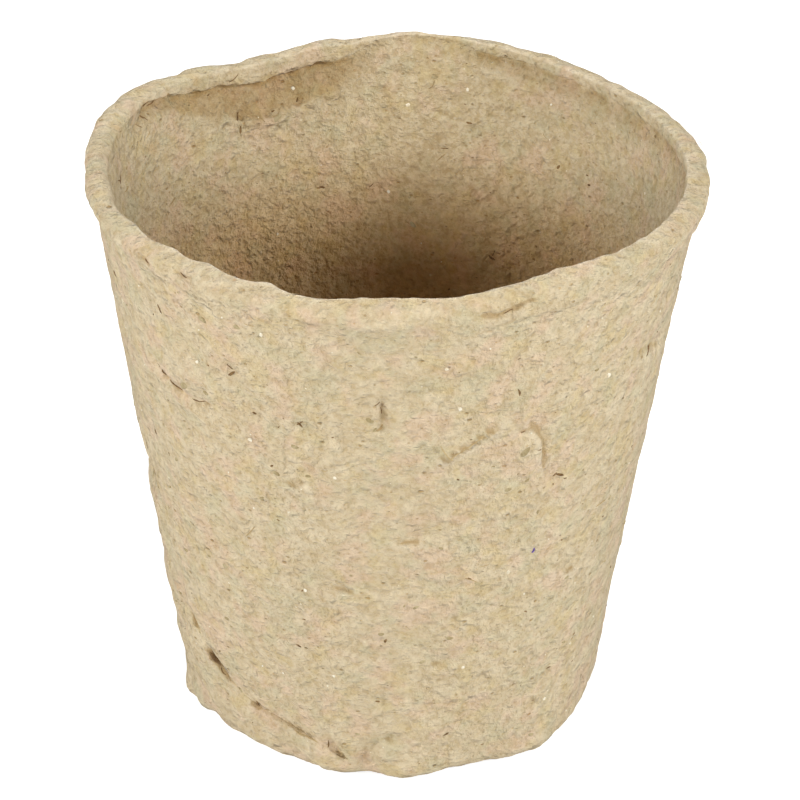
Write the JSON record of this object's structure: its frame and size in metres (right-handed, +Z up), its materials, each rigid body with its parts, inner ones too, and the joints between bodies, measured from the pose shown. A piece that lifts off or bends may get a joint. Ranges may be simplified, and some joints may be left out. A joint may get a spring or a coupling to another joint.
{
  "type": "peat pot",
  "caption": "Round tapered plant pot of pressed peat and wood pulp, with a wavy rolled lip, a drain hole and coarse matter in its surface.",
  "frame": {"origin": "middle of the foot, on the surface that the pot stands on", "axes": "+Z up along the pot's axis; +X to the right and -Y to the front, as the picture shows the pot, so that the roll of pulp is on the left and in front"},
  "size_m": [0.08, 0.0803, 0.0786],
  "materials": {
    "peat_pulp": "matte",
    "bark": "matte",
    "peat_crumb": "matte",
    "straw": "matte",
    "grit": "matte"
  },
  "bodies": {
    "root": {"side_wall": "peat_pulp", "base_pan": "peat_pulp", "rim_lip": "peat_pulp", "foot_roll": "peat_pulp", "bark_chips": "bark", "peat_crumbs": "peat_crumb", "straw_fibres": "straw", "grit_grains": "grit"}
  },
  "joints": []
}
